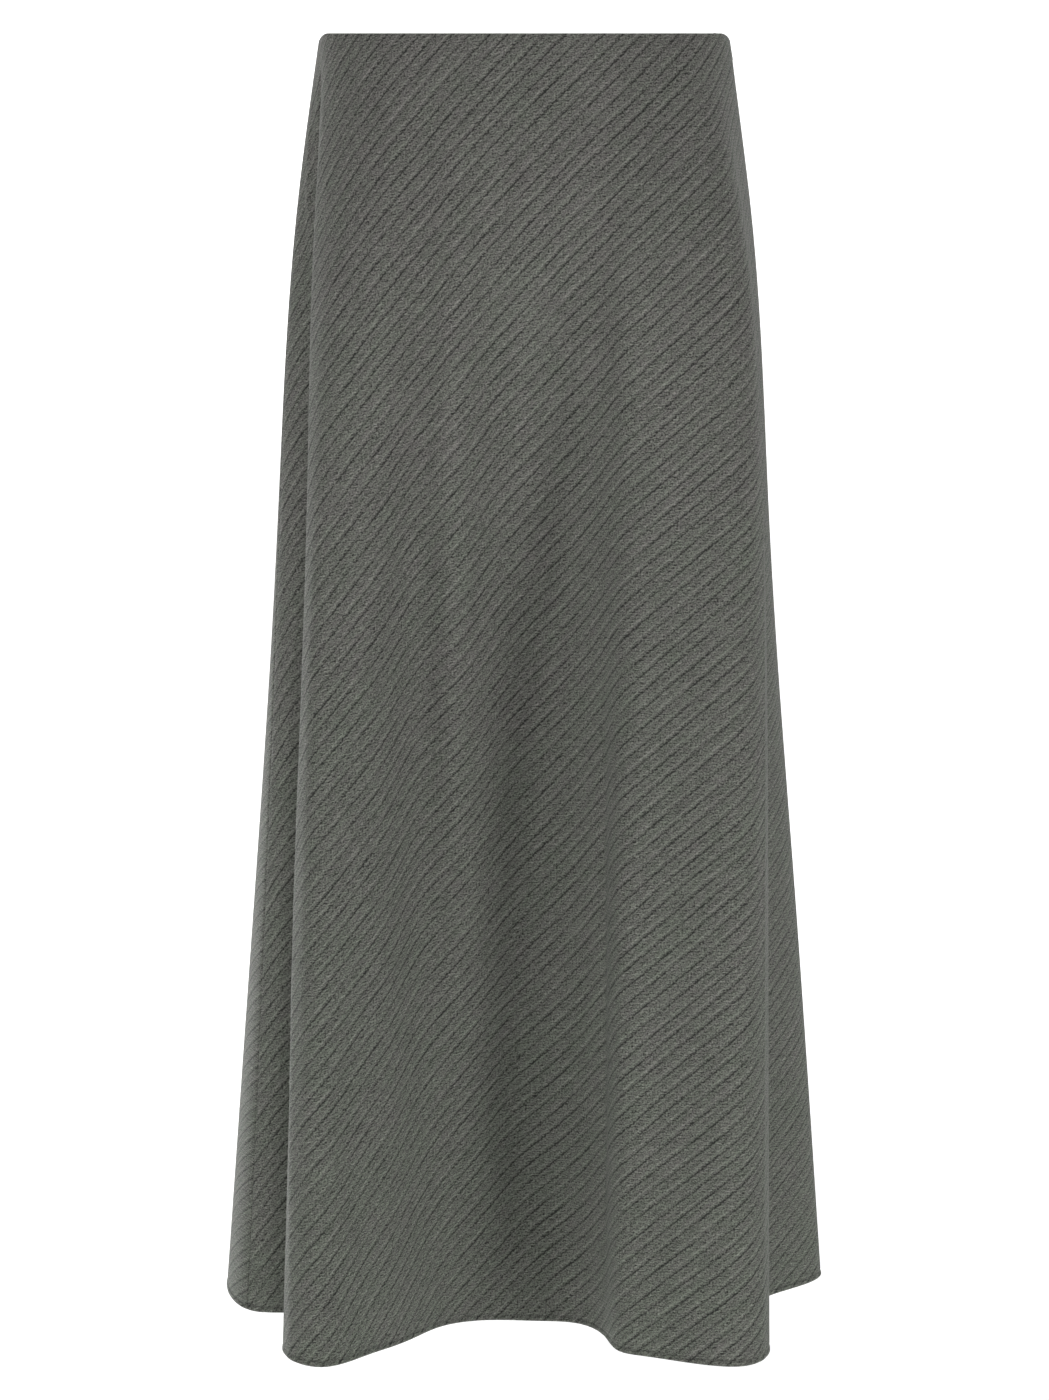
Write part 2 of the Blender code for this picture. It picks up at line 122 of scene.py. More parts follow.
def foldPlaces(depths):
    # where every fold stands at each depth, on a natural spline through the sections
    levels = np.array(skirt["sections"])
    table = [[waistPoint(fold[1]) for fold in folds]]
    table += [[(x * mm, y * mm) for x, y in (fold[column] for fold in folds)]
              for column in (2, 3, 4, 5)]
    table = np.array(table)
    count, gaps = len(levels), np.diff(levels)
    matrix = np.eye(count)
    pulls = np.zeros_like(table)
    for row in range(1, count - 1):
        above, below = gaps[row - 1], gaps[row]
        matrix[row, row - 1:row + 2] = above, 2 * (above + below), below
        pulls[row] = 6 * ((table[row + 1] - table[row]) / below
                          - (table[row] - table[row - 1]) / above)
    bends = np.linalg.solve(matrix, pulls.reshape(count, -1)).reshape(table.shape)
    span = np.clip(np.searchsorted(levels, depths) - 1, 0, count - 2)
    gap = gaps[span][:, None, None]
    low = ((depths - levels[span]) / gaps[span])[:, None, None]
    high = 1 - low
    bend = (high ** 3 - high) * bends[span] + (low ** 3 - low) * bends[span + 1]
    return high * table[span] + low * table[span + 1] + bend * gap ** 2 / 6


def smoothRings(places):
    # a closed smooth ring through the folds for each depth
    count = places.shape[1]
    after, before = np.roll(places, -1, axis=1), np.roll(places, 1, axis=1)
    gap = np.linalg.norm(after - places, axis=2) ** 0.75
    lastGap = np.roll(gap, 1, axis=1)
    here = np.arange(count)
    matrix = np.zeros((len(places), count, count))
    matrix[:, here, here - 1] += lastGap
    matrix[:, here, here] += 2 * (lastGap + gap)
    matrix[:, here, (here + 1) % count] += gap
    pulls = 6 * ((after - places) / gap[..., None] - (places - before) / lastGap[..., None])
    bends = np.linalg.solve(matrix, pulls)[:, :, None]
    nextBends = np.roll(bends, -1, axis=1)
    low = (np.arange(skirt["ringSteps"]) / skirt["ringSteps"])[None, None, :, None]
    high = 1 - low
    bend = (high ** 3 - high) * bends + (low ** 3 - low) * nextBends
    rings = high * places[:, :, None] + low * after[:, :, None]
    rings = rings + bend * gap[:, :, None, None] ** 2 / 6
    return rings.reshape(len(places), -1, 2)


def skirtPoints(depths):
    depths = np.asarray(depths, dtype=float)
    waist = smoothRings(foldPlaces(np.zeros(1)))[0]
    edge = (abs(waist[:, 0]) / skirt["waistHalfWidth"] - skirt["dipStarts"])
    dip = skirt["waistDip"] * np.clip(edge / (1 - skirt["dipStarts"]), 0, 1) ** skirt["dipBend"]
    flat = smoothRings(foldPlaces(depths))
    height = -depths[:, None] - dip * (1 - depths[:, None] / skirt["length"])
    return np.concatenate([flat, height[..., None]], axis=2)


def skirtSurface(depths):
    # fine points round the skirt at each depth, and the way the cloth faces there
    depths = np.asarray(depths, dtype=float)
    points = skirtPoints(depths)
    down = skirtPoints(depths + 0.5 * mm) - skirtPoints(depths - 0.5 * mm)
    around = np.roll(points, -1, axis=1) - np.roll(points, 1, axis=1)
    facing = np.cross(down, around)
    return points, facing / np.linalg.norm(facing, axis=2, keepdims=True)


# how the cloth's edges are turned in, and how fine the mesh is
sewing = {
    "clothThick": 0.7 * mm,
    "waistRoll": 0.95 * mm,      # radius of the fold at the waist edge
    "waistTurn": 8 * mm,         # cloth turned in behind it
    "hemRoll": 1.05 * mm,
    "hemTurn": 4 * mm,
    "seamRoll": 0.9 * mm,
    "seamTurn": 12 * mm,         # allowance pressed open behind the side seams
    "seamGap": 0.04 * mm,        # the folded edges nearly touch, so no light comes through
    "partedHalf": 0.8 * mm,      # half the opening beside the zip's slider
    "partedEnd": 18.5 * mm,      # it stays that wide down to here
    "closedAt": 28 * mm,         # and is closed again from here down
    "rows": 188,                 # from the bend at the waist to the bend at the hem
    "closeRows": 9,              # the last of them, closer together for the stitch line
    "closeRowStep": 0.8 * mm,
    "columns": 214,
    "closerBy": 2.2,             # more columns beside the front flutes' edges
    "closerReach": 15 * mm,
    "closerAt": ((2.5, 2.9), (15.5, 15.6)),      # places at the waist and at the hem
    "fineSpots": 1200,           # points along a row where the columns are shared out
    "bendSteps": 5,
    "turnShares": (0.1, 0.35, 0.65, 1.0),        # rows or columns across a turned-in part
    "stitchLine": 4.0 * mm,      # hem stitches above the edge
    "stitchDitch": 0.6 * mm,     # how deep they pull the cloth in
    "ditchWidth": 0.8 * mm,
    "hemSwell": 0.4 * mm,        # how far the turned hem stands out
    "swellAt": 1.5 * mm,         # above the edge, where it stands out most
    "swellWidth": 1.2 * mm,
}

# the cut: two equal sectors of a wide ring, laid on the bias
cut = {
    "innerRadius": 0.95,
    "slopeStretch": 1.006,       # cloth length for each metre of height
}

# soft creases: the crease's place among the folds at its top and at its bottom, then in
# millimetres its first and last depth, its reach to either side and its height, which is
# below 0 for a hollow
creases = (
    (1.75, 1.5, 70, 960, 9, 11, -6.5),       # behind the left front flute
    (1.9, 2.3, 20, 290, 4, 4, -8.0),         # a sharper fold there, up to the waist
    (0.7, 1.7, 35, 175, 3, 3, 1.4),          # and a small one beside it
    (3.0, 3.4, 30, 980, 5, 7, 1.8),          # the flute's folded edge
    (4.6, 4.9, 200, 560, 12, 12, -1.2),
    (7.9, 8.1, 330, 560, 8, 9, 1.4),
    (9.8, 10.2, 670, 912, 30, 26, -8.5),     # the front hollow turns out again at the hem
    (10.0, 10.0, 835, 1100, 28, 26, 6.0),
    (11.6, 11.9, 100, 290, 7, 9, -1.3),
    (12.1, 12.0, 430, 880, 6, 7, -3.0),      # foot of the right flute
    (13.6, 13.4, 350, 700, 12, 9, 0.9),
    (15.5, 15.55, 60, 980, 4, 3, 0.7),       # folded edge of the right front flute
    (17.3, 17.2, 120, 800, 8, 9, -2.2),
    (20.3, 20.5, 90, 420, 9, 12, 1.1),
    (21.6, 21.4, 240, 930, 11, 8, -1.8),
    (23.2, 23.5, 60, 360, 8, 8, -1.0),
    (24.4, 24.2, 380, 900, 10, 13, 1.3),
    (25.7, 25.4, 120, 620, 7, 9, -1.5),
    (27.3, 27.1, 300, 960, 9, 7, -2.0),
    (28.5, 28.6, 70, 480, 7, 8, 1.0),
)


def foldedEdge(radius, turn):
    # from the flat cloth round the bend to the end of the turned-in part:
    # distance along the skirt, distance inwards, and distance along the cloth itself
    entries = []
    for step in range(1, sewing["bendSteps"] + 1):
        angle = math.pi * step / sewing["bendSteps"]
        entries.append((radius - radius * math.sin(angle), radius - radius * math.cos(angle),
                        radius - radius * angle))
    for share in sewing["turnShares"]:
        entries.append((radius + turn * share, 2 * radius,
                        radius - radius * math.pi - turn * share))
    return entries


def panelRows():
    # rows from the end of the waist's turned-in cloth over the edge and down to the hem's
    length = skirt["length"]
    top = foldedEdge(sewing["waistRoll"], sewing["waistTurn"])[::-1]
    first, last = sewing["waistRoll"], length - sewing["hemRoll"]
    close = [last - sewing["closeRowStep"] * step for step in range(sewing["closeRows"])][::-1]
    main = np.linspace(first, close[0], sewing["rows"] - len(close) + 1)[:-1].tolist() + close
    bottom = foldedEdge(sewing["hemRoll"], sewing["hemTurn"])
    rows = list(top)
    rows += [(depth, 0.0, depth) for depth in main]
    rows += [(length - along, inward, length - cloth) for along, inward, cloth in bottom]
    return np.array(rows)


def creaseHeights(depths, arcs, places, firstFold, lastFold):
    heights = np.zeros(places.shape)
    count = arcs.shape[1]
    for top, bottom, start, end, left, right, height in creases:
        if not firstFold < top < lastFold:
            continue
        share = np.clip((depths / mm - start) / (end - start), 0, 1)
        middle = (top + (bottom - top) * share - firstFold) * skirt["ringSteps"]
        low = np.clip(middle.astype(int), 0, count - 2)
        rest = np.clip(middle - low, 0, 1)
        rows = np.arange(len(depths))
        centre = arcs[rows, low] * (1 - rest) + arcs[rows, low + 1] * rest
        away = (places - centre[:, None]) / mm
        reach = np.where(away < 0, left, right)
        fade = np.sin(np.pi * share) ** 0.8
        heights += height * mm * np.exp(-(away / reach) ** 2) * fade[:, None]
    return heights


def spreadColumns(start, end, count, depths, arcs, firstFold, lastFold):
    # columns across the panel, closer together beside the front flutes' edges
    fine = np.linspace(0, 1, sewing["fineSpots"])
    spots = start[:, None] + (end - start)[:, None] * fine
    crowd = np.ones(spots.shape)
    for top, bottom in sewing["closerAt"]:
        if firstFold < top < lastFold:
            place = top + (bottom - top) * depths / skirt["length"] - firstFold
            place = place * skirt["ringSteps"]
            low = place.astype(int)
            rows = np.arange(len(depths))
            centre = arcs[rows, low] + (arcs[rows, low + 1] - arcs[rows, low]) * (place - low)
            away = (spots - centre[:, None]) / sewing["closerReach"]
            crowd += sewing["closerBy"] * np.exp(-away ** 2)
    total = np.cumsum(crowd, axis=1)
    total = (total - total[:, :1]) / (total[:, -1:] - total[:, :1])
    wanted = np.linspace(0, 1, count)
    return np.array([np.interp(wanted, total[row], spots[row]) for row in range(len(spots))])


def hemRelief(rows):
    # the ditch that the hem's stitches pull in, and the swell of the cloth turned up below it
    above = skirt["length"] - rows[:, 0]
    ditch = (above - sewing["stitchLine"]) / sewing["ditchWidth"]
    swell = (above - sewing["swellAt"]) / sewing["swellWidth"]
    relief = sewing["hemSwell"] * np.exp(-swell ** 2) - sewing["stitchDitch"] * np.exp(-ditch ** 2)
    return relief * (rows[:, 1] == 0)


def makePanel(name, firstFold, lastFold):
    steps = skirt["ringSteps"]
    rows = panelRows()
    depths = rows[:, 0]
    points, facing = skirtSurface(depths)
    wanted = np.arange(firstFold * steps, lastFold * steps + 1)
    wanted = wanted % points.shape[1]
    points, facing = points[:, wanted], facing[:, wanted]
    lengths = np.linalg.norm(np.diff(points, axis=1), axis=2)
    arcs = np.concatenate([np.zeros((len(depths), 1)), np.cumsum(lengths, axis=1)], axis=1)
    total = arcs[:, -1:]
    gap = np.full(len(depths), sewing["seamGap"] / 2)
    parted = np.interp(depths, [sewing["partedEnd"], sewing["closedAt"]],
                       [sewing["partedHalf"], sewing["seamGap"] / 2])
    leftGap = parted if firstFold % len(folds) == zipFold else gap
    rightGap = parted if lastFold % len(folds) == zipFold else gap
    edge = np.array(foldedEdge(sewing["seamRoll"], sewing["seamTurn"]))
    count = sewing["columns"]
    start = leftGap + sewing["seamRoll"]
    end = total[:, 0] - rightGap - sewing["seamRoll"]
    main = spreadColumns(start, end, count, depths, arcs, firstFold, lastFold)
    left, right = edge[::-1], edge
    places = np.concatenate([leftGap[:, None] + left[:, 0], main,
                             total - rightGap[:, None] - right[:, 0]], axis=1)
    onCloth = np.concatenate([leftGap[:, None] + left[:, 2], main,
                              total - rightGap[:, None] - right[:, 2]], axis=1)
    inward = np.concatenate([left[:, 1], np.zeros(count), right[:, 1]])
    grid = np.zeros((len(depths), places.shape[1], 3))
    faces = np.zeros_like(grid)
    for row in range(len(depths)):
        for axis in range(3):
            grid[row, :, axis] = np.interp(places[row], arcs[row], points[row, :, axis])
            faces[row, :, axis] = np.interp(places[row], arcs[row], facing[row, :, axis])
    faces /= np.linalg.norm(faces, axis=2, keepdims=True)
    shift = creaseHeights(depths, arcs, places, firstFold, lastFold)
    shift += hemRelief(rows)[:, None]
    shift = shift - rows[:, 1][:, None] - inward
    grid += faces * shift[..., None]

    # lay the same grid out flat, as the panel was cut
    radius = (cut["innerRadius"] + rows[:, 2] * cut["slopeStretch"])[:, None]
    turn = (onCloth - total / 2) / radius
    flat = np.stack([radius * np.sin(turn), -radius * np.cos(turn)], axis=2)

    height, width = grid.shape[:2]
    index = np.arange(height * width).reshape(height, width)
    quads = np.stack([index[:-1, :-1], index[1:, :-1], index[1:, 1:], index[:-1, 1:]], axis=2)
    mesh = bpy.data.meshes.new(name)
    mesh.from_pydata(grid.reshape(-1, 3).tolist(), [], quads.reshape(-1, 4).tolist())
    layer = mesh.uv_layers.new(name="flat")
    corners = np.zeros(len(mesh.loops), dtype=np.int32)
    mesh.loops.foreach_get("vertex_index", corners)
    layer.data.foreach_set("uv", flat.reshape(-1, 2)[corners].ravel())
    mesh.shade_smooth()
    panel = bpy.data.objects.new(name, mesh)
    scene.collection.objects.link(panel)
    thick = panel.modifiers.new("cloth thickness", "SOLIDIFY")
    thick.thickness = sewing["clothThick"]
    thick.offset = -1
    low, high = float(total[0, 0]), float(total[-1, 0])
    print(name, "made:", len(mesh.vertices), "points, waist", round(low, 3), "hem", round(high, 3))
    return panel


frontPanel = makePanel("frontPanel", 0, zipFold)
backPanel = makePanel("backPanel", zipFold, len(folds))


def addNode(tree, kind, inputs=(), **settings):
    made = tree.nodes.new(kind)
    for name, value in settings.items():
        setattr(made, name, value)
    for slot, value in enumerate(inputs):
        if isinstance(value, bpy.types.NodeSocket):
            tree.links.new(value, made.inputs[slot])
        elif value is not None:
            made.inputs[slot].default_value = value
    return made


def maths(tree, operation, *inputs):
    return addNode(tree, "ShaderNodeMath", inputs, operation=operation).outputs[0]


def vectorMaths(tree, operation, *inputs):
    made = addNode(tree, "ShaderNodeVectorMath", inputs, operation=operation)
    return made.outputs["Value" if operation == "DOT_PRODUCT" else "Vector"]


def stretchedNoise(tree, place, size, detail=1.0):
    # noise about 0 whose cells have the given size in millimetres
    scaled = vectorMaths(tree, "DIVIDE", place, (*size, 1))
    made = addNode(tree, "ShaderNodeTexNoise", (), noise_dimensions="2D")
    tree.links.new(scaled, made.inputs["Vector"])
    made.inputs["Scale"].default_value = 1
    made.inputs["Detail"].default_value = detail
    return maths(tree, "SUBTRACT", made.outputs["Fac"], 0.5)


def addBump(tree, shader, height, distance):
    bump = addNode(tree, "ShaderNodeBump")
    bump.inputs["Strength"].default_value = 0.5
    bump.inputs["Distance"].default_value = distance
    tree.links.new(height, bump.inputs["Height"])
    tree.links.new(bump.outputs["Normal"], shader.inputs["Normal"])


def mixTwo(tree, factor, first, second):
    # a mix of two colours
    made = addNode(tree, "ShaderNodeMix", (), data_type="RGBA")
    tree.links.new(factor, made.inputs["Factor"])
    made.inputs["A"].default_value = (*first, 1)
    made.inputs["B"].default_value = (*second, 1)
    return made.outputs["Result"]


def ramp(tree, factor, stops):
    made = addNode(tree, "ShaderNodeValToRGB", (factor,))
    elements = made.color_ramp.elements
    while len(elements) < len(stops):
        elements.new(0.5)
    for element, (place, value) in zip(elements, stops):
        element.position = place
        element.color = (value, value, value, 1)
    return made.outputs["Color"]


def newMaterial(name):
    material = bpy.data.materials.new(name)
    material.use_nodes = True
    tree = material.node_tree
    return material, tree, tree.nodes["Principled BSDF"]


# lengths are in millimetres of the flat cloth
clothLook = {
    "greener": (0.0885, 0.097, 0.0802),
    "greyer": (0.097, 0.0941, 0.0878),
    "patchSize": (6, 16),        # small patches of one tint in the other
    "patchAmount": 1.4,
    "cloudSize": (50, 110),      # and large ones
    "cloudAmount": 0.7,
    "greyerUp": 0.5,             # more of the greyer tint near the waist
    "stripeWidth": 8.92,         # from one dark line to the next
    "stripeAngle": 44.5,         # degrees from the centre-front line
    "stripeAmount": 1.36,
    "driftSize": (24, 80),       # slow wander of a stripe to either side
    "driftAmount": 3.0,
    "fraySize": (4.5, 2.2),      # and the ragged edge of its lines
    "frayAmount": 1.3,
    "fadeSize": (5, 26),         # how a line comes and goes along its length
    "fadeAmount": 2.2,
    "faintest": 0.15,
    "lineSize": (1.3, 36),       # fine uneven lines between the stripes
    "lineAmount": 0.5,
    "dashAngle": 9,              # degrees
    "dashPitch": 2.2,            # between the crepe's short raised threads
    "dashBendSize": (4.2, 2.4),  # how they wander
    "dashBend": 2.8,
    "dashSize": (3.6, 1.7),      # how long and tall one of them is
    "dashBreaks": 5.0,           # how sharply one ends and the next starts
    "dashAmount": 0.44,
    "speckSize": (1.15, 0.95),
    "speckAmount": 2.6,
    # painted shade: the cloth's colour is darkened along the hem's stitch line, for the shade in
    # the ditch there
    "hemShadeWidth": 1.0,              # half the width of the painted shade along the hem's stitches
    "hemShadeAmount": 0.2,
    "darkest": 0.15,             # share of the cloth's colour that is left in the grooves
    "bumpHeight": 0.35,
    "roughness": 0.82,
    "shine": 0.25,
    "sheen": 0.12,
    "sheenRoughness": 0.45,
    "sheenTint": (0.7, 0.75, 0.7),
}

# the stripe across one width: a dark groove with a strong light line before it and a
# weaker one after it, 0.5 being the plain cloth
stripeProfile = (
    (0.0, 0.02), (0.035, 0.12), (0.07, 0.4), (0.11, 0.56), (0.17, 0.62), (0.22, 0.6),
    (0.27, 0.53), (0.33, 0.48), (0.45, 0.5), (0.56, 0.56), (0.64, 0.6), (0.685, 0.82),
    (0.725, 0.86), (0.765, 0.66), (0.84, 0.52), (0.915, 0.42), (0.96, 0.16), (1.0, 0.02),
)


def turnedPlace(tree, place, degrees):
    # the same place on axes turned by an angle
    angle = math.radians(degrees)
    sine, cosine = math.sin(angle), math.cos(angle)
    across = vectorMaths(tree, "DOT_PRODUCT", place, (cosine, sine, 0))
    along = vectorMaths(tree, "DOT_PRODUCT", place, (-sine, cosine, 0))
    return addNode(tree, "ShaderNodeCombineXYZ", (across, along)).outputs[0]


def clothStripes(tree, flat, stripes):
    # dark grooves and light lines that wander, fray and fade
    across = addNode(tree, "ShaderNodeSeparateXYZ", (stripes,)).outputs["X"]
    drift = maths(tree, "MULTIPLY", stretchedNoise(tree, stripes, clothLook["driftSize"]),
                  clothLook["driftAmount"])
    fray = maths(tree, "MULTIPLY", stretchedNoise(tree, flat, clothLook["fraySize"]),
                 clothLook["frayAmount"])
    place = maths(tree, "ADD", maths(tree, "ADD", across, drift), fray)
    phase = maths(tree, "FRACT", maths(tree, "DIVIDE", place, clothLook["stripeWidth"]))
    stripe = maths(tree, "SUBTRACT", ramp(tree, phase, stripeProfile), 0.5)
    fade = maths(tree, "MULTIPLY_ADD", stretchedNoise(tree, stripes, clothLook["fadeSize"], 2.0),
                 clothLook["fadeAmount"], 1.0)
    stripe = maths(tree, "MULTIPLY", stripe, maths(tree, "MAXIMUM", fade, clothLook["faintest"]))
    return maths(tree, "MULTIPLY", stripe, clothLook["stripeAmount"])


def clothThreads(tree, flat, stripes):
    # short raised threads in wavering rows, with specks and fine lines over them
    threads = turnedPlace(tree, flat, clothLook["dashAngle"])
    apart = addNode(tree, "ShaderNodeSeparateXYZ", (threads,)).outputs["Y"]
    bend = maths(tree, "MULTIPLY", stretchedNoise(tree, threads, clothLook["dashBendSize"]),
                 clothLook["dashBend"])
    wave = maths(tree, "SINE", maths(tree, "MULTIPLY", maths(tree, "ADD", apart, bend),
                                     2 * math.pi / clothLook["dashPitch"]))
    length = maths(tree, "MULTIPLY_ADD", stretchedNoise(tree, threads, clothLook["dashSize"]),
                   clothLook["dashBreaks"], 0.5)
    dashes = maths(tree, "MULTIPLY", wave, length)
    specks = stretchedNoise(tree, flat, clothLook["speckSize"])
    lines = stretchedNoise(tree, stripes, clothLook["lineSize"])
    grain = maths(tree, "ADD", maths(tree, "MULTIPLY", dashes, clothLook["dashAmount"]),
                  maths(tree, "MULTIPLY", specks, clothLook["speckAmount"]))
    return maths(tree, "MULTIPLY_ADD", lines, clothLook["lineAmount"], grain)


def clothTint(tree, stripes, reach):
    # a greyer tone towards the waist and a greener one towards the hem, in patches
    middle = (cut["innerRadius"] + skirt["length"] / 2) / mm
    higher = maths(tree, "DIVIDE", maths(tree, "SUBTRACT", middle, reach), skirt["length"] / mm)
    patches = maths(tree, "MULTIPLY_ADD", higher, clothLook["greyerUp"], 0.5)
    for size, detail, amount in ((clothLook["patchSize"], 2.0, clothLook["patchAmount"]),
                                 (clothLook["cloudSize"], 1.0, clothLook["cloudAmount"])):
        patches = maths(tree, "MULTIPLY_ADD", stretchedNoise(tree, stripes, size, detail),
                        amount, patches)
    return mixTwo(tree, patches, clothLook["greener"], clothLook["greyer"])


def paintedHemShade(tree, reach):
    # painted shade: 1 all over the cloth and a little less along the hem's stitches, where the
    # stitch ditch is in shade
    depth = skirt["length"] - sewing["stitchLine"]
    line = (cut["innerRadius"] + depth * cut["slopeStretch"]) / mm
    off = maths(tree, "DIVIDE", maths(tree, "SUBTRACT", reach, line), clothLook["hemShadeWidth"])
    dark = maths(tree, "EXPONENT", maths(tree, "MULTIPLY", maths(tree, "MULTIPLY", off, off), -1))
    return maths(tree, "MULTIPLY_ADD", dark, -clothLook["hemShadeAmount"], 1.0)


def makeCloth():
    material, tree, shader = newMaterial("stripedCrepe")
    flat = addNode(tree, "ShaderNodeUVMap", (), uv_map="flat").outputs["UV"]
    flat = vectorMaths(tree, "MULTIPLY", flat, (1 / mm, 1 / mm, 0))
    stripes = turnedPlace(tree, flat, clothLook["stripeAngle"] - 90)
    relief = maths(tree, "ADD", clothStripes(tree, flat, stripes),
                   clothThreads(tree, flat, stripes))
    reach = maths(tree, "SQRT", vectorMaths(tree, "DOT_PRODUCT", flat, flat))
    shade = maths(tree, "MAXIMUM", maths(tree, "ADD", relief, 1.0), clothLook["darkest"])
    # painted shade: the colour is darkened along the hem's stitch ditch
    shade = maths(tree, "MULTIPLY", shade, paintedHemShade(tree, reach))
    colour = vectorMaths(tree, "SCALE", clothTint(tree, stripes, reach))
    tree.links.new(shade, colour.node.inputs["Scale"])
    tree.links.new(colour, shader.inputs["Base Color"])
    addBump(tree, shader, relief, clothLook["bumpHeight"] * mm)
    shader.inputs["Roughness"].default_value = clothLook["roughness"]
    shader.inputs["Specular IOR Level"].default_value = clothLook["shine"]
    shader.inputs["Sheen Weight"].default_value = clothLook["sheen"]
    shader.inputs["Sheen Roughness"].default_value = clothLook["sheenRoughness"]
    shader.inputs["Sheen Tint"].default_value = (*clothLook["sheenTint"], 1)
    return material


cloth = makeCloth()
for panel in (frontPanel, backPanel):
    panel.data.materials.append(cloth)
print("cloth finished")


def tubeParts(path, widths, sides, sideways):
    # rings of points round a path; sideways is a direction across the path at each point
    path, sideways = np.array(path), np.array(sideways)
    way = np.gradient(path, axis=0)
    way /= np.linalg.norm(way, axis=1, keepdims=True)
    sideways = sideways - way * (sideways * way).sum(axis=1, keepdims=True)
    sideways /= np.linalg.norm(sideways, axis=1, keepdims=True)
    other = np.cross(way, sideways)
    turns = np.arange(sides) * 2 * math.pi / sides
    rings = (sideways[:, None] * np.cos(turns)[None, :, None]
             + other[:, None] * np.sin(turns)[None, :, None])
    points = path[:, None] + rings * np.array(widths)[:, None, None]
    quads = []
    for ring in range(len(path) - 1):
        for side in range(sides):
            here, there = ring * sides + side, ring * sides + (side + 1) % sides
            quads.append((here, there, there + sides, here + sides))
    return points.reshape(-1, 3), quads


def meshPiece(name, points, quads, material):
    mesh = bpy.data.meshes.new(name)
    mesh.from_pydata([tuple(point) for point in points], [], quads)
    mesh.shade_smooth()
    mesh.materials.append(material)
    piece = bpy.data.objects.new(name, mesh)
    scene.collection.objects.link(piece)
    return piece


def cloudyTint(tree, grainsPerMetre, colour, low, high):
    # a colour that varies between two shares of itself
    place = addNode(tree, "ShaderNodeTexCoord").outputs["Object"]
    cloud = addNode(tree, "ShaderNodeTexNoise")
    tree.links.new(place, cloud.inputs["Vector"])
    cloud.inputs["Scale"].default_value = grainsPerMetre
    darker, lighter = [[value * share for value in colour] for share in (low, high)]
    return mixTwo(tree, cloud.outputs["Fac"], darker, lighter)


stitches = {
    "pitch": 2.8 * mm,
    "length": 2.2 * mm,
    "thread": 0.17 * mm,         # radius
    "sides": 5,
    "inDitch": 0.9,              # share of the ditch's depth where the outer stitches lie
    "pastHem": 0.02 * mm,        # inner stitches, from the inner face of the turned hem
    # shares of a stitch's length, and how far outwards the thread bows there
    "shares": (0.0, 0.18, 0.5, 0.82, 1.0),
    "bows": (0.25 * mm, -0.06 * mm, -0.12 * mm, -0.06 * mm, 0.25 * mm),
    "colour": (0.058, 0.061, 0.054),
    "grainsPerMetre": 2500,
}


def makeThread():
    material, tree, shader = newMaterial("sewingThread")
    colour = cloudyTint(tree, stitches["grainsPerMetre"], stitches["colour"], 0.75, 1.3)
    tree.links.new(colour, shader.inputs["Base Color"])
    shader.inputs["Roughness"].default_value = 0.6
    shader.inputs["Sheen Weight"].default_value = 0.1
    return material


def stitchRow(name, depth, lift, material):
    # one stitch line round the whole skirt; lift is from the cloth's outer face
    points, facing = skirtSurface([depth])
    points, facing = points[0], facing[0]
    closed = np.concatenate([points, points[:1]])
    normals = np.concatenate([facing, facing[:1]])
    arc = np.concatenate([[0], np.cumsum(np.linalg.norm(np.diff(closed, axis=0), axis=1))])
    count = round(arc[-1] / stitches["pitch"])
    shares, bows = np.array(stitches["shares"]), np.array(stitches["bows"])
    widths = np.full(len(shares), stitches["thread"])
    allPoints, allQuads = [], []
    for number in range(count):
        spots = number * arc[-1] / count + shares * stitches["length"]
        base = np.stack([np.interp(spots, arc, closed[:, axis]) for axis in range(3)], axis=1)
        out = np.stack([np.interp(spots, arc, normals[:, axis]) for axis in range(3)], axis=1)
        path = base + out * (lift + bows)[:, None]
        tube, quads = tubeParts(path, widths, stitches["sides"], out)
        start = len(allPoints) * len(tube)
        allPoints.append(tube)
        allQuads += [[corner + start for corner in quad] for quad in quads]
    print(name, "made:", count, "stitches")
    return meshPiece(name, np.concatenate(allPoints), allQuads, material)


thread = makeThread()
hemStitchDepth = skirt["length"] - sewing["stitchLine"]
hemStitches = stitchRow("hemStitches", hemStitchDepth,
                        -sewing["stitchDitch"] * stitches["inDitch"], thread)
hemStitchesInside = stitchRow("hemStitchesInside", hemStitchDepth,
                              -2 * sewing["hemRoll"] - stitches["pastHem"], thread)


# the concealed zip; its tapes, slider and pull keep the shape of their solids
zipParts = {
    "coilTop": 17.85 * mm,
    "coilBottom": 176 * mm,
    "coilInward": 4.8 * mm,      # middle of the coil behind the cloth's face
    "coilRadius": 1.5 * mm,
    "wire": 0.4 * mm,
    "wireEnd": 0.05 * mm,
    "wireSides": 6,
    "loop": 1.45 * mm,           # height of one loop
    "loopSteps": 10,
    "coilColour": (0.070, 0.072, 0.064),
    "coilGrainsPerMetre": 900,
    "tapeColour": (0.085, 0.088, 0.078),
    "warpPitch": 0.55 * mm,
    "weftPitch": 0.45 * mm,
    "weaveAmount": 0.16,
    "weaveHeight": 0.1 * mm,
    "metalColour": (0.125, 0.128, 0.115),
    "rubbedColour": (0.3, 0.3, 0.28),
    "rubbedFrom": (0.62, 0.72),  # wear at which the enamel starts to thin and is gone
    "wearPerMetre": 700,
}


def makeCoilFinish():
    material, tree, shader = newMaterial("dyedNylon")
    colour = cloudyTint(tree, zipParts["coilGrainsPerMetre"], zipParts["coilColour"], 0.8, 1.2)
    tree.links.new(colour, shader.inputs["Base Color"])
    shader.inputs["Roughness"].default_value = 0.38
    return material


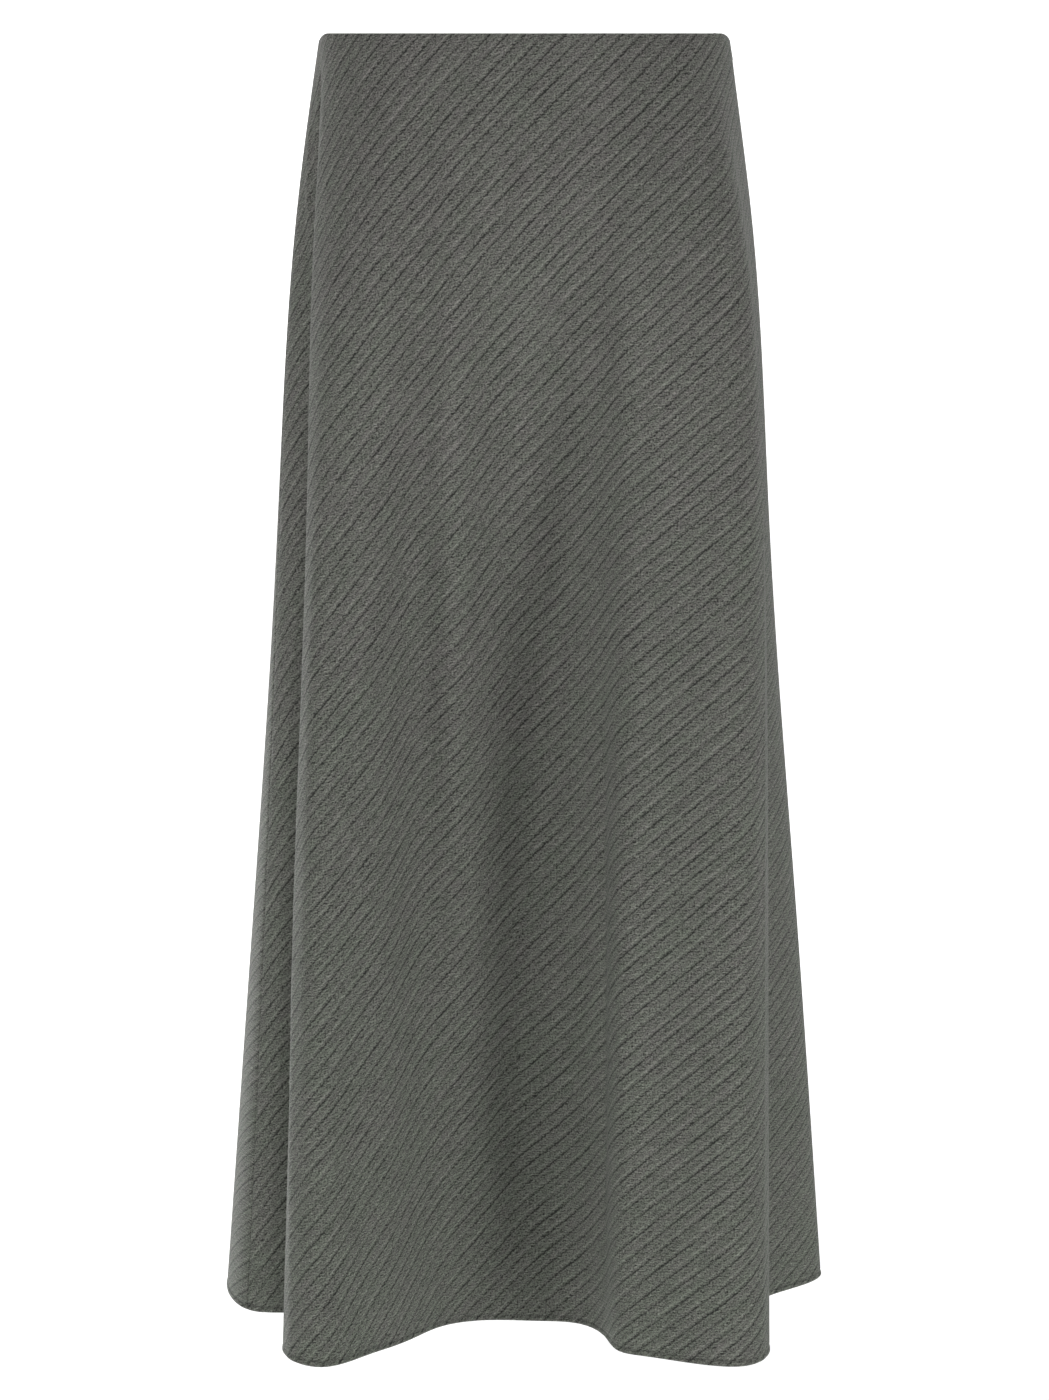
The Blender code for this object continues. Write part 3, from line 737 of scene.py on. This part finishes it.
def makeCoil():
    # fine loops down the meeting edges of the tapes
    column = zipFold * skirt["ringSteps"]
    span = zipParts["coilBottom"] - zipParts["coilTop"]
    turns = round(span / zipParts["loop"])
    count = turns * zipParts["loopSteps"] + 1
    depths = np.linspace(zipParts["coilTop"], zipParts["coilBottom"], count)
    points, facing = skirtSurface(depths)
    outward = facing[:, column]
    middle = points[:, column] - outward * zipParts["coilInward"]
    down = np.gradient(middle, axis=0)
    down /= np.linalg.norm(down, axis=1, keepdims=True)
    across = np.cross(outward, down)
    reach = zipParts["coilRadius"] - zipParts["wire"]
    angle = np.arange(count) * 2 * math.pi / zipParts["loopSteps"]
    path = middle + across * (reach * np.cos(angle))[:, None]
    path += outward * (reach * np.sin(angle))[:, None]
    widths = np.full(count, zipParts["wire"])
    widths[0] = widths[-1] = zipParts["wireEnd"]
    tube, quads = tubeParts(path, widths, zipParts["wireSides"], down)
    print("zip coil made:", turns, "loops")
    return meshPiece("zipCoilLoops", tube, quads, makeCoilFinish())


zipCoil = makeCoil()


def makeTapeFinish():
    # plain weave, one thread over and one under
    material, tree, shader = newMaterial("wovenTape")
    place = addNode(tree, "ShaderNodeTexCoord").outputs["Object"]
    parts = addNode(tree, "ShaderNodeSeparateXYZ", (place,))
    warp, weft = [maths(tree, "SINE", maths(tree, "MULTIPLY", parts.outputs[axis],
                                            2 * math.pi / zipParts[pitch]))
                  for axis, pitch in (("Y", "warpPitch"), ("Z", "weftPitch"))]
    weave = maths(tree, "MULTIPLY", warp, weft)
    shade = maths(tree, "MULTIPLY_ADD", weave, zipParts["weaveAmount"], 1.0)
    colour = vectorMaths(tree, "SCALE", zipParts["tapeColour"])
    tree.links.new(shade, colour.node.inputs["Scale"])
    tree.links.new(colour, shader.inputs["Base Color"])
    addBump(tree, shader, weave, zipParts["weaveHeight"])
    shader.inputs["Roughness"].default_value = 0.85
    return material


def makeMetalFinish():
    # enamel in the cloth's colour, rubbed thin in small places
    material, tree, shader = newMaterial("paintedMetal")
    place = addNode(tree, "ShaderNodeTexCoord").outputs["Object"]
    wear = addNode(tree, "ShaderNodeTexNoise")
    tree.links.new(place, wear.inputs["Vector"])
    wear.inputs["Scale"].default_value = zipParts["wearPerMetre"]
    wear.inputs["Detail"].default_value = 3
    thin, gone = zipParts["rubbedFrom"]
    rubbed = ramp(tree, wear.outputs["Fac"], ((thin, 0), (gone, 1)))
    colour = mixTwo(tree, rubbed, zipParts["metalColour"], zipParts["rubbedColour"])
    tree.links.new(colour, shader.inputs["Base Color"])
    rough = maths(tree, "MULTIPLY_ADD", wear.outputs["Fac"], 0.25, 0.25)
    tree.links.new(rough, shader.inputs["Roughness"])
    shader.inputs["Metallic"].default_value = 0.5
    return material


tapeFinish, metalFinish = makeTapeFinish(), makeMetalFinish()
for name, finish in (("zip_tape_front", tapeFinish), ("zip_tape_back", tapeFinish),
                     ("zip_slider", metalFinish), ("zip_pull", metalFinish)):
    for slot in bpy.data.objects[name].material_slots:
        slot.material = finish
print("zip finished")


# studio: a pale floor that curves up behind, and soft light from all round
studio = {
    "floor": -1.25,
    "wallAt": 4.4,               # behind the place that a view from the back is taken from
    "curve": 0.9,                # radius of the bend from floor to wall
    "curveSteps": 16,
    "halfWidth": 5.0,
    "front": -4.5,
    "top": 4.0,
    "paper": (0.93, 0.93, 0.93),
    "paperGlow": (0.12, 0.62),   # under the skirt, and from some way behind it
    "glowFrom": (0.3, 2.3),      # metres behind, where the glow starts to grow and stops
    "sky": 0.065,
    # light name: place, aim, size in metres, watts
    "lights": {
        "leftWide": ((-3.0, -1.3, 0.3), (0, 0, -0.5), 1.2, 33),
        "rightWide": ((3.0, -1.3, 0.3), (0, 0, -0.5), 1.2, 18),
        "leftLow": ((-2.4, -1.8, -0.9), (0, 0, -0.5), 0.8, 14),
        "rightLow": ((2.4, -1.8, -0.9), (0, 0, -0.5), 0.8, 30),
        "front": ((0, -3.9, 0.5), (0, 0, -0.5), 1.6, 53),
        "backTop": ((0, 1.3, 2.6), (0, 0, -0.3), 1.8, 61),
        "sideLeft": ((-1.3, 1.4, -1.0), (-0.2, 0, -0.75), 0.6, 15),
    },
}


def makeBackdrop():
    curve = studio["curve"]
    profile = [(studio["front"], studio["floor"])]
    for step in range(studio["curveSteps"] + 1):
        angle = math.pi / 2 * step / studio["curveSteps"]
        profile.append((studio["wallAt"] - curve + curve * math.sin(angle),
                        studio["floor"] + curve - curve * math.cos(angle)))
    profile.append((studio["wallAt"], studio["top"]))
    points, quads = [], []
    for y, z in profile:
        points += [(-studio["halfWidth"], y, z), (studio["halfWidth"], y, z)]
    for row in range(len(profile) - 1):
        quads.append((2 * row, 2 * row + 1, 2 * row + 3, 2 * row + 2))
    paper, tree, shader = newMaterial("studioPaper")
    shader.inputs["Base Color"].default_value = (*studio["paper"], 1)
    shader.inputs["Roughness"].default_value = 0.9
    shader.inputs["Emission Color"].default_value = (1, 1, 1, 1)
    place = addNode(tree, "ShaderNodeTexCoord").outputs["Object"]
    behind = addNode(tree, "ShaderNodeSeparateXYZ", (place,)).outputs["Y"]
    glow = addNode(tree, "ShaderNodeMapRange", (behind, *studio["glowFrom"], *studio["paperGlow"]))
    tree.links.new(glow.outputs["Result"], shader.inputs["Emission Strength"])
    return meshPiece("backdrop", points, quads, paper)


def makeLights():
    for name, (place, aim, size, power) in studio["lights"].items():
        data = bpy.data.lights.new(name, "AREA")
        data.shape = "SQUARE"
        data.size = size
        data.energy = power
        light = bpy.data.objects.new(name, data)
        light.location = place
        light.rotation_euler = (Vector(aim) - Vector(place)).to_track_quat("-Z", "Y").to_euler()
        scene.collection.objects.link(light)
    world = bpy.data.worlds.new("studioLight")
    world.use_nodes = True
    sky = world.node_tree.nodes["Background"]
    sky.inputs["Color"].default_value = (1, 1, 1, 1)
    sky.inputs["Strength"].default_value = studio["sky"]
    scene.world = world


backdrop = makeBackdrop()
makeLights()
print("studio made")


# what each piece rides on and stands for
for piece in (frontPanel, backPanel, hemStitches, hemStitchesInside, zipCoil):
    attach(piece, "skirt")
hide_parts("front_panel")
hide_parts("back_panel")
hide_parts("zip_coil")

print("pieces placed")
